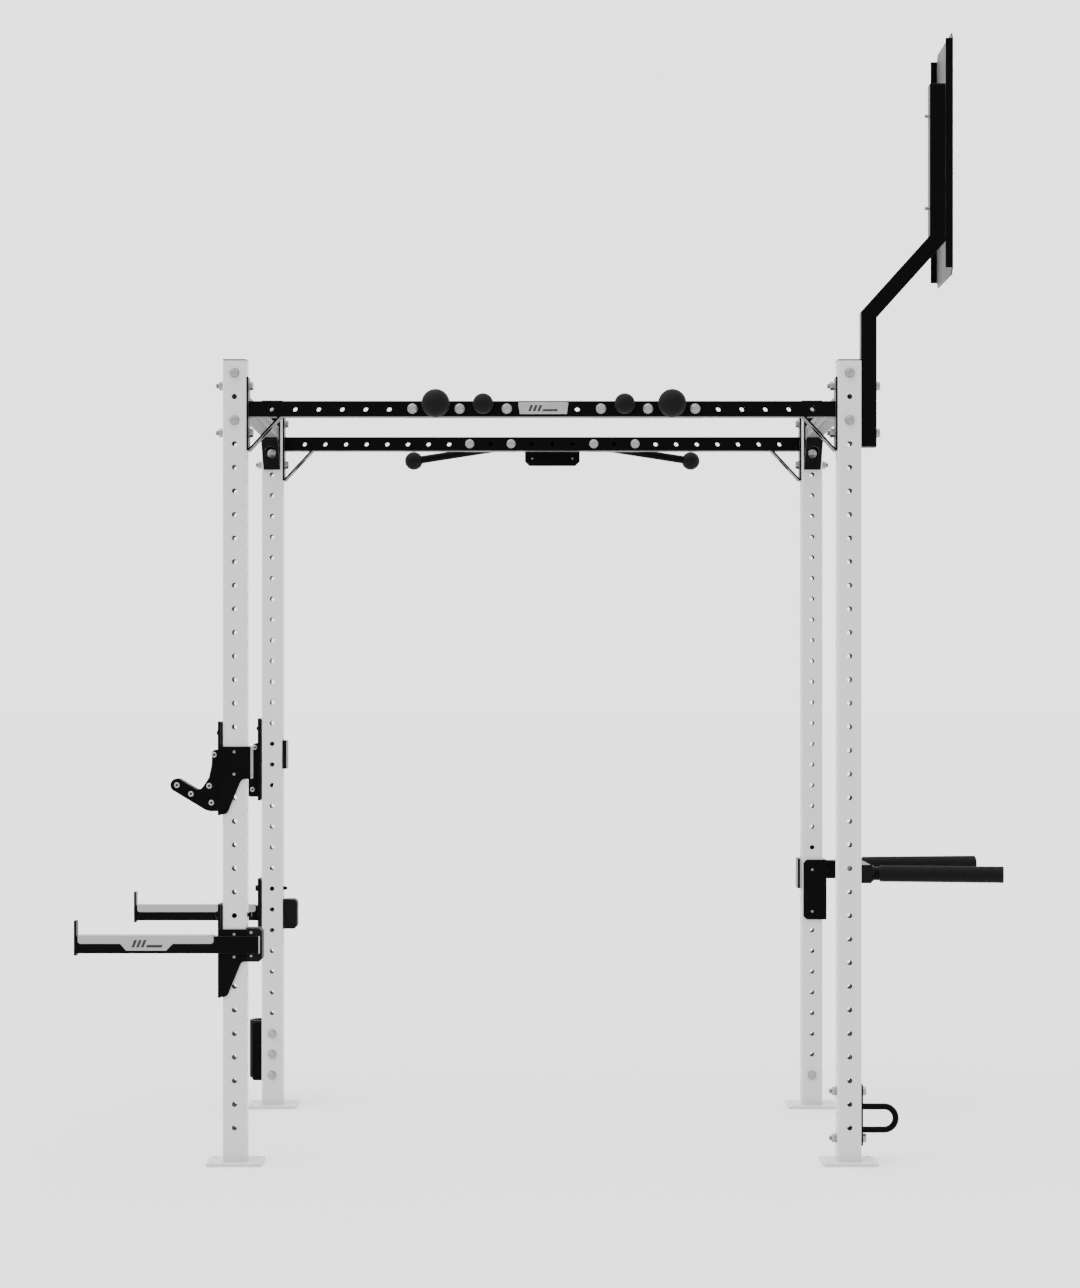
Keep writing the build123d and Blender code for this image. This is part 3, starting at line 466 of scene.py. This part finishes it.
def outer_face(node, out):
    """Y of the side of a node that faces out: its low side for -1, its high side for 1."""
    low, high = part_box(node)
    return low[1] if out < 0 else high[1]


class RigOperator(bpy.types.Operator):
    """Shared settings of the rig's operators."""
    bl_options = {"REGISTER", "UNDO"}


class RIG_OT_frame(RigOperator):
    """Uprights, feet, beams, crossmembers and their flanges, with rounded tube and hole edges"""
    bl_idname = "rig.frame"
    bl_label = "Frame"

    def execute(self, context):
        nodes = [n for n in frame["nodes"] if n.startswith(("upright_", "foot_"))]
        nodes += [n for n in frame["nodes"] if n.endswith(("_beam", "_crossmember", "_flanges"))]
        edged_nodes(sorted(nodes), context.scene.rig_sizes.steel_edge, "steel")
        return {"FINISHED"}


class RIG_OT_caps(RigOperator):
    """Moulded end caps of the tubes"""
    bl_idname = "rig.caps"
    bl_label = "End caps"

    def execute(self, context):
        edged_nodes(["tube_caps"], context.scene.rig_sizes.plastic_edge / 2, "moulded")
        return {"FINISHED"}


# M16 hardware: heights of head and nut, shank radius, corner radius of the 24 mm hexagon, washer radii
HEAD_MM, NUT_MM, BOLT_R_MM = 10.0, 13.0, 8.0
SEAT_MM = 24.0 / 2 / math.cos(math.pi / 6)
WASHER_OUT_MM, WASHER_IN_MM = 16.0, 8.05
# its thread, the least plain shank above it, and the chamfered point
THREADED_MM, THREAD_DEPTH_MM = 38.0, 1.1
PLAIN_MM, POINT_MM, POINT_DEPTH_MM = 4.0, 1.5, 1.6


def long_axis(cloud):
    """Centre, unit axis and half length of a solid along its longest side."""
    low, high = cloud_box(cloud)
    size = high - low
    index = max(range(3), key=lambda i: size[i])
    axis = Vector([1.0 if i == index else 0.0 for i in range(3)])
    return (low + high) / 2, axis, size[index] / 2


def flat_axis(cloud):
    """Centre and unit axis of a disc or nut along its shortest side."""
    low, high = cloud_box(cloud)
    size = high - low
    index = min(range(3), key=lambda i: size[i])
    return (low + high) / 2, Vector([1.0 if i == index else 0.0 for i in range(3)])


def copies(template, node, name):
    """Puts a copy of a washer or nut in the place of each solid of a node."""
    made_copies = []
    for cloud in solids(node):
        centre, axis = flat_axis(cloud)
        made_copies.append(place(duplicate(template), along(centre, axis)))
    settle(join(made_copies, name), node, finish("zinc"))


def bolt_rings(total, pitch):
    """Shank rings of a bolt from under its head: plain, then threaded to a chamfered point."""
    threaded = min(THREADED_MM, total - PLAIN_MM)
    rings = [(BOLT_R_MM, 0.0), (BOLT_R_MM, total - threaded)]
    height = total - threaded
    while height + pitch < total - POINT_MM:
        rings += [(BOLT_R_MM - THREAD_DEPTH_MM, height + pitch * 0.5), (BOLT_R_MM, height + pitch)]
        height += pitch
    return rings + [(BOLT_R_MM - POINT_DEPTH_MM, total)]


class RIG_OT_hardware(RigOperator):
    """Hex bolts with chamfered heads and threads, nuts and washers"""
    bl_idname = "rig.hardware"
    bl_label = "Bolts, nuts and washers"

    def execute(self, context):
        pitch = context.scene.rig_sizes.thread_pitch / MM
        head = turned("head", [(SEAT_MM * 0.94, 0.0), (SEAT_MM, 0.5), (SEAT_MM, 8.6),
                               (SEAT_MM * 0.87, HEAD_MM), (SEAT_MM * 0.62, HEAD_MM),
                               (SEAT_MM * 0.58, HEAD_MM - 0.7)], 6)
        rounded(head, 0.25 * MM, math.radians(20))
        bolts = []
        for cloud in solids("hex_bolts"):
            centre, axis, half = long_axis(cloud)
            # points wider than the shank are the head's, which tells its end
            wide = [p for p in cloud if ((p - centre) - axis * (p - centre).dot(axis)).length > 10 * MM]
            if (sum(wide, Vector()) / len(wide) - centre).dot(axis) > 0:
                axis = -axis
            seat = centre - axis * (half - HEAD_MM * MM)
            shank = turned("shank", bolt_rings(2 * half / MM - HEAD_MM, pitch), 24)
            smooth(shank, math.radians(50))
            bolts += [place(duplicate(head), along(seat, -axis)), place(shank, along(seat, axis))]
        settle(join(bolts, "hex_bolts_threaded"), "hex_bolts", finish("zinc"))

        washer = turned("washer", [
            (WASHER_IN_MM, -1.5), (WASHER_OUT_MM - 0.6, -1.5), (WASHER_OUT_MM, -1.0), (WASHER_OUT_MM, 1.0),
            (WASHER_OUT_MM - 0.6, 1.5), (WASHER_IN_MM + 0.3, 1.5), (WASHER_IN_MM, 1.2), (WASHER_IN_MM, -1.5),
        ], 40, filled=False)
        close_ring(washer)
        copies(washer, "washers", "washers_stamped")

        half = NUT_MM / 2
        nut = turned("nut", [
            (SEAT_MM * 0.87, half), (SEAT_MM, half - 1.4), (SEAT_MM, 1.4 - half), (SEAT_MM * 0.87, -half),
            (WASHER_IN_MM + 1.2, -half), (WASHER_IN_MM, 1 - half), (WASHER_IN_MM, half - 1),
            (WASHER_IN_MM + 1.2, half), (SEAT_MM * 0.87, half),
        ], 6, filled=False)
        close_ring(nut)
        copies(nut, "hex_nuts", "hex_nuts_chamfered")
        for template in (head, washer, nut):
            bpy.data.objects.remove(template)
        return {"FINISHED"}


def pebbled_ball(node, pebble, height):
    """A rubber ball with a real pebbled skin, and a flat seat where its node is flat."""
    low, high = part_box(node)
    low, high = Vector(low), Vector(high)
    radius = (high.z - low.z) / 2
    centre = Vector(((low.x + high.x) / 2, low.y + radius, (low.z + high.z) / 2))
    deselect()
    bpy.ops.mesh.primitive_ico_sphere_add(subdivisions=6, radius=radius - height, location=centre)
    ball = bpy.context.object
    ball.name = ball.data.name = f"{node}_rubber"
    bpy.ops.object.transform_apply(location=True, rotation=True, scale=True)
    skin = bpy.data.textures.new(f"{node}_skin", "VORONOI")
    skin.noise_scale = pebble
    apply_modifier(ball, "DISPLACE", texture=skin, texture_coords="LOCAL", strength=height, mid_level=0.5)
    if "globe" in node:
        edit_all(ball)
        bpy.ops.mesh.bisect(plane_co=(0, high.y, 0), plane_no=(0, 1, 0), use_fill=True,
                            clear_outer=True, clear_inner=False)
        deselect()
    smooth(ball, math.radians(60))
    settle(ball, node, finish("rubber"))


class RIG_OT_globes(RigOperator):
    """Rubber globes with a pebbled skin, and their back plates"""
    bl_idname = "rig.globes"
    bl_label = "Globe grips"

    def execute(self, context):
        sizes = context.scene.rig_sizes
        for node in sorted(n for n in frame["nodes"] if "_globe_" in n or "grip_ball_" in n):
            pebbled_ball(node, sizes.pebble, sizes.pebble_height)
        edged_nodes(["globe_back_plates"], sizes.steel_edge, "steel")
        return {"FINISHED"}


class RIG_OT_angled_grips(RigOperator):
    """Angled grip bars with their bolted plates"""
    bl_idname = "rig.angled_grips"
    bl_label = "Angled grips"

    def execute(self, context):
        edged_nodes(["angled_grip_left", "angled_grip_right"], context.scene.rig_sizes.steel_edge, "steel")
        return {"FINISHED"}


# place and width of each bar as shares of the mark's width; the last bar is a low dash
DASH_WIDTH, DASH_HEIGHT, BAR_SLANT = 0.5, 0.35, 0.4
BARS = ((-0.42, 0.09), (-0.27, 0.09), (-0.12, 0.09), (0.25, DASH_WIDTH))
INK_MM = 0.5
BADGE_MARK_SIZE, BADGE_MARK_SHIFT = (96 * MM, 20 * MM), -4 * MM


def bar_mark(name, centre, width, height, out, node):
    """A generic mark of slanted bars, printed on a face whose outward side is along Y."""
    bars = []
    for middle, share in BARS:
        deselect()
        bpy.ops.mesh.primitive_cube_add(size=1, location=(0, 0, 0))
        bar = bpy.context.object
        tall = height * DASH_HEIGHT if share == DASH_WIDTH else height
        bar.scale = (width * share, INK_MM * MM, tall)
        bpy.ops.object.transform_apply(location=False, rotation=False, scale=True)
        edit_all(bar)
        bpy.ops.mesh.select_all(action="DESELECT")
        bpy.ops.object.mode_set(mode="OBJECT")
        # only the top corners are moved along, which slants the bar
        for vertex in bar.data.vertices:
            vertex.select = vertex.co.z > 0
        bpy.ops.object.mode_set(mode="EDIT")
        bpy.ops.mesh.select_mode(type="VERT")
        bpy.ops.transform.translate(value=(tall * BAR_SLANT, 0, 0))
        bpy.ops.mesh.select_all(action="SELECT")
        bpy.ops.mesh.bevel(offset=0.1 * MM, segments=1)
        deselect()
        shift = Vector((middle * width, out * INK_MM / 2 * MM, (tall - height) / 2))
        bars.append(place(bar, Matrix.Translation(centre + shift)))
    mark = join(bars, name)
    smooth(mark)
    attach(mark, node, finish("ink"))


class RIG_OT_badges(RigOperator):
    """Front and rear badges, and a generic mark of slanted bars on the front one"""
    bl_idname = "rig.badges"
    bl_label = "Badges"

    def execute(self, context):
        edged_nodes(["front_badge", "rear_badge"], context.scene.rig_sizes.steel_edge, "plate")
        low, high = (Vector(corner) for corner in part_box("front_badge"))
        spot = Vector(((low.x + high.x) / 2 + BADGE_MARK_SHIFT, low.y, (low.z + high.z) / 2))
        bar_mark("front_badge_mark", spot, *BADGE_MARK_SIZE, -1, "front_badge")
        return {"FINISHED"}


class RIG_OT_target(RigOperator):
    """Bent target post and folded target panel"""
    bl_idname = "rig.target"
    bl_label = "Target"

    def execute(self, context):
        edged_nodes(["target_post", "target_panel"], context.scene.rig_sizes.steel_edge, "steel")
        return {"FINISHED"}


class RIG_OT_foot_fittings(RigOperator):
    """Rope anchor and upright bar holder"""
    bl_idname = "rig.foot_fittings"
    bl_label = "Rope anchor and bar holder"

    def execute(self, context):
        edged_nodes(["rope_anchor", "bar_holder"], context.scene.rig_sizes.steel_edge, "steel")
        return {"FINISHED"}


# plain band at each end of a dip sleeve
COLLAR_MM = 8.0


def ribbed_sleeve(node, pitch, depth):
    """A rubber sleeve with rounded ribs and a hollowed end, turned about the axis of its node."""
    low, high = (Vector(corner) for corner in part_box(node))
    radius = (high.z - low.z) / 2 / MM
    slant = (high.y - low.y - 2 * radius * MM) / (high.x - low.x)
    angle = math.atan(slant)
    lean = radius * MM * math.sin(angle)
    inset = radius * MM * math.cos(angle)
    # the handles spread towards their ends, so the near one runs from high Y to low Y
    start_y, stop_y = low.y + inset, high.y - inset
    if node.endswith("near"):
        start_y, stop_y = stop_y, start_y
    centre_z = (low.z + high.z) / 2
    start = Vector((low.x + lean, start_y, centre_z))
    stop = Vector((high.x - lean, stop_y, centre_z))
    total = (stop - start).length / MM
    pitch, depth = pitch / MM, depth / MM
    count = int((total - 2 * COLLAR_MM) // pitch)
    rings = [(radius - 1.5, 0.0), (radius - 0.2, 1.0), (radius - 0.2, COLLAR_MM)]
    height = COLLAR_MM
    for _ in range(count):
        rings += [(radius - depth, height + 0.8), (radius - depth, height + 1.8),
                  (radius - 0.35, height + 2.6), (radius, height + 4.2),
                  (radius - 0.35, height + pitch - 0.2)]
        height += pitch
    rings += [(radius - 0.2, height + 0.6), (radius - 0.2, total - 2.4), (radius - 0.8, total - 0.9),
              (radius - 2.6, total), (radius - 9, total), (radius - 10.5, total - 1.2)]
    sleeve = turned(f"{node}_rubber", rings, 48)
    smooth(sleeve, math.radians(45))
    place(sleeve, along(start, stop - start))
    settle(sleeve, node, finish("rubber"))


class RIG_OT_dip_station(RigOperator):
    """Dip bracket, yoke, liners and ribbed rubber sleeves"""
    bl_idname = "rig.dip_station"
    bl_label = "Dip station"

    def execute(self, context):
        sizes = context.scene.rig_sizes
        edged_nodes(["dip_bracket", "dip_yoke"], sizes.steel_edge, "steel")
        edged_nodes(["dip_liners"], sizes.plastic_edge / 2, "plastic")
        for node in ("dip_grip_near", "dip_grip_far"):
            ribbed_sleeve(node, sizes.rib_pitch, sizes.rib_depth)
        return {"FINISHED"}


class RIG_OT_bar_cups(RigOperator):
    """Bar cups: bracket, liners, cheek plates and the plastic core between them"""
    bl_idname = "rig.bar_cups"
    bl_label = "Bar cups"

    def execute(self, context):
        sizes = context.scene.rig_sizes
        for side in ("near", "far"):
            edged_nodes([f"cup_bracket_{side}", f"cup_cheeks_{side}"], sizes.steel_edge, "steel")
            edged_nodes([f"cup_liners_{side}", f"cup_core_{side}"], sizes.plastic_edge / 2, "plastic")
        return {"FINISHED"}


# middle of the pad's print, in the window of the arm's outer plate: x, then height above the pad's underside
MARK_X, MARK_RISE = -1257 * MM, 31 * MM
PAD_MARK_SIZE = 100 * MM, 24 * MM


class RIG_OT_spotter_arms(RigOperator):
    """Spotter arms: bracket, pin, arm with end stop, liners and the pale pad"""
    bl_idname = "rig.spotter_arms"
    bl_label = "Spotter arms"

    def execute(self, context):
        sizes = context.scene.rig_sizes
        for side, out in SIDES:
            edged_nodes([f"spotter_bracket_{side}", f"spotter_arm_{side}", f"spotter_pin_{side}"],
                        sizes.steel_edge, "steel")
            edged_nodes([f"spotter_pad_{side}"], sizes.plastic_edge / 2, "plastic")
            pad = f"spotter_pad_{side}"
            spot = Vector((MARK_X, outer_face(pad, out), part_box(pad)[0][2] + MARK_RISE))
            bar_mark(f"spotter_mark_{side}", spot, *PAD_MARK_SIZE, out, pad)
            edged_nodes([f"spotter_liners_{side}"], sizes.plastic_edge, "plastic")
        return {"FINISHED"}


# radius and height of a button head's rings, as shares of the whole
SCREW_RINGS = ((1.0, 0.0), (1.0, 0.25), (0.93, 0.6), (0.78, 0.88), (0.62, 1.0))
# x and distance below the bracket's top of an arm bracket's screws, then their radius and height; millimetres
ARM_SCREWS = ((-978.0, 96.5), (-978.0, 167.5), (-924.0, 90.5), (-924.0, 164.0))
ARM_SCREW_SIZE = 4.6, 2.4


def button_screw(radius, tall):
    """A button-head screw with a hexagon socket, standing on Z; sizes in millimetres."""
    dome = turned("screw", [(radius * r, tall * z) for r, z in SCREW_RINGS], 32)
    deselect()
    bpy.ops.mesh.primitive_cylinder_add(vertices=6, radius=radius * 0.46 * MM, depth=4 * tall * MM)
    cutter = bpy.context.object
    apply_modifier(dome, "BOOLEAN", operation="DIFFERENCE", object=cutter, solver="EXACT")
    bpy.data.objects.remove(cutter)
    smooth(dome, math.radians(40))
    return dome


STUD_PITCH_MM, STUD_DEPTH_MM, STUD_POINT_MM = 1.5, 0.8, 1.2


def stud_end(centre, size):
    """A threaded stud end along X in the place of a solid of this size."""
    radius, total = size.z / 2 / MM, size.x / MM
    rings = [(radius, 0.0)]
    while rings[-1][1] + STUD_PITCH_MM < total - STUD_POINT_MM:
        height = rings[-1][1]
        rings += [(radius - STUD_DEPTH_MM, height + STUD_PITCH_MM / 2), (radius, height + STUD_PITCH_MM)]
    stud = turned("stud", rings + [(radius - STUD_POINT_MM, total)], 24)
    smooth(stud, math.radians(50))
    return place(stud, along(centre + Vector((size.x / 2, 0, 0)), (-1, 0, 0)))


class RIG_OT_screws(RigOperator):
    """Button-head screws with hexagon sockets, and the stud ends of the target's spacers"""
    bl_idname = "rig.screws"
    bl_label = "Screws"

    def execute(self, context):
        for node in ("cup_screws_near", "cup_screws_far", "trim_screws"):
            body_y = sum(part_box(node)[i][1] for i in (0, 1)) / 2
            heads = []
            for cloud in solids(node):
                low, high = cloud_box(cloud)
                centre, size = (low + high) / 2, high - low
                # a stud end lies along X, so it is as deep as it is high
                if size.y > 0.8 * size.z:
                    heads.append(stud_end(centre, size))
                    continue
                # the cup screws stand on both faces of their cup
                forward = node == "trim_screws" or centre.y < body_y
                seat = Vector((centre.x, high.y if forward else low.y, centre.z))
                screw = button_screw(size.z / 2 / MM, size.y / MM)
                heads.append(place(screw, along(seat, (0, -1 if forward else 1, 0))))
            settle(join(heads, f"{node}_button_heads"), node, finish("zinc"))
        for side, out in SIDES:
            bracket = f"spotter_bracket_{side}"
            face, top = outer_face(bracket, out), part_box(bracket)[1][2]
            heads = []
            for x, drop in ARM_SCREWS:
                seat = Vector((x * MM, face, top - drop * MM))
                heads.append(place(button_screw(*ARM_SCREW_SIZE), along(seat, (0, out, 0))))
            attach(join(heads, f"spotter_screws_{side}"), bracket, finish("zinc"))
        return {"FINISHED"}


# a level camera in front of the rig; its shift centres the rig with the target in view
CAMERA_AT = (0.0, -9.2375, 1.4905)
SENSOR_MM, LENS_MM = 36.0, 75.63
CAMERA_SHIFT = (-0.0016, 0.0404)
CLIP_END = 200.0
FLOOR_SIZE = 400.0
# the dome is bright behind the rig and dim in front, as with a black flag beside the camera
DOME = {"From Min": -1.0, "From Max": 0.0, "To Min": 0.3, "To Max": 2.55}
SUN_FROM = (-3.0, -3.5, 9.0)
SUN_STRENGTH, SUN_ANGLE = 3.7, math.radians(70)


class RIG_OT_stage(RigOperator):
    """Pale floor, soft studio light and the camera"""
    bl_idname = "rig.stage"
    bl_label = "Stage"

    def execute(self, context):
        deselect()
        bpy.ops.mesh.primitive_plane_add(size=FLOOR_SIZE, location=(0, 0, 0))
        floor = context.object
        floor.name = "studio_floor"
        floor.data.materials.append(finish("floor"))

        world = bpy.data.worlds.new("soft_studio")
        context.scene.world = world
        world.use_nodes = True
        tree = world.node_tree
        direction = add(tree, "TexCoord").outputs["Generated"]
        depth = add(tree, "SeparateXYZ", {}, {"Vector": direction})
        dome = add(tree, "MapRange", DOME, {"Value": depth.outputs["Y"]})
        background = tree.nodes["Background"]
        background.inputs["Color"].default_value = (1, 1, 1, 1)
        tree.links.new(dome.outputs["Result"], background.inputs["Strength"])

        deselect()
        bpy.ops.object.light_add(type="SUN", location=SUN_FROM)
        sun = context.object
        sun.name = "overhead_softbox"
        sun.data.energy = SUN_STRENGTH
        sun.data.angle = SUN_ANGLE
        sun.rotation_euler = (-Vector(SUN_FROM)).to_track_quat("-Z", "Y").to_euler()

        deselect()
        bpy.ops.object.camera_add(location=CAMERA_AT, rotation=(math.pi / 2, 0, 0))
        camera = context.object
        camera.name = "level_camera"
        camera.data.sensor_width = SENSOR_MM
        camera.data.lens = LENS_MM
        camera.data.shift_x, camera.data.shift_y = CAMERA_SHIFT
        camera.data.clip_end = CLIP_END
        context.scene.camera = camera
        return {"FINISHED"}


class RIG_PT_panel(bpy.types.Panel):
    """Lists the rig's operators and properties"""
    bl_label = "Training Rig"
    bl_idname = "RIG_PT_panel"
    bl_space_type = "VIEW_3D"
    bl_region_type = "UI"
    bl_category = "Rig"

    def draw(self, context):
        layout = self.layout
        for operator in OPERATORS:
            layout.operator(operator.bl_idname)
        for group in (context.scene.rig_sizes, context.scene.rig_colours):
            box = layout.box()
            for name in group.__annotations__:
                box.prop(group, name)


OPERATORS = (
    RIG_OT_stage, RIG_OT_frame, RIG_OT_caps, RIG_OT_hardware, RIG_OT_globes, RIG_OT_angled_grips,
    RIG_OT_badges, RIG_OT_target, RIG_OT_foot_fittings, RIG_OT_dip_station, RIG_OT_bar_cups,
    RIG_OT_spotter_arms, RIG_OT_screws,
)
CLASSES = (RigColours, RigSizes, *OPERATORS, RIG_PT_panel)


def register():
    """Registers the classes and the scene's properties."""
    for item in CLASSES:
        bpy.utils.register_class(item)
    bpy.types.Scene.rig_colours = bpy.props.PointerProperty(type=RigColours)
    bpy.types.Scene.rig_sizes = bpy.props.PointerProperty(type=RigSizes)


def unregister():
    """Removes the classes and the scene's properties."""
    del bpy.types.Scene.rig_sizes
    del bpy.types.Scene.rig_colours
    for item in reversed(CLASSES):
        bpy.utils.unregister_class(item)


def main():
    """Makes every piece in order."""
    register()
    for operator in OPERATORS:
        group, name = operator.bl_idname.split(".")
        getattr(getattr(bpy.ops, group), name)()


if __name__ == "__main__":
    main()
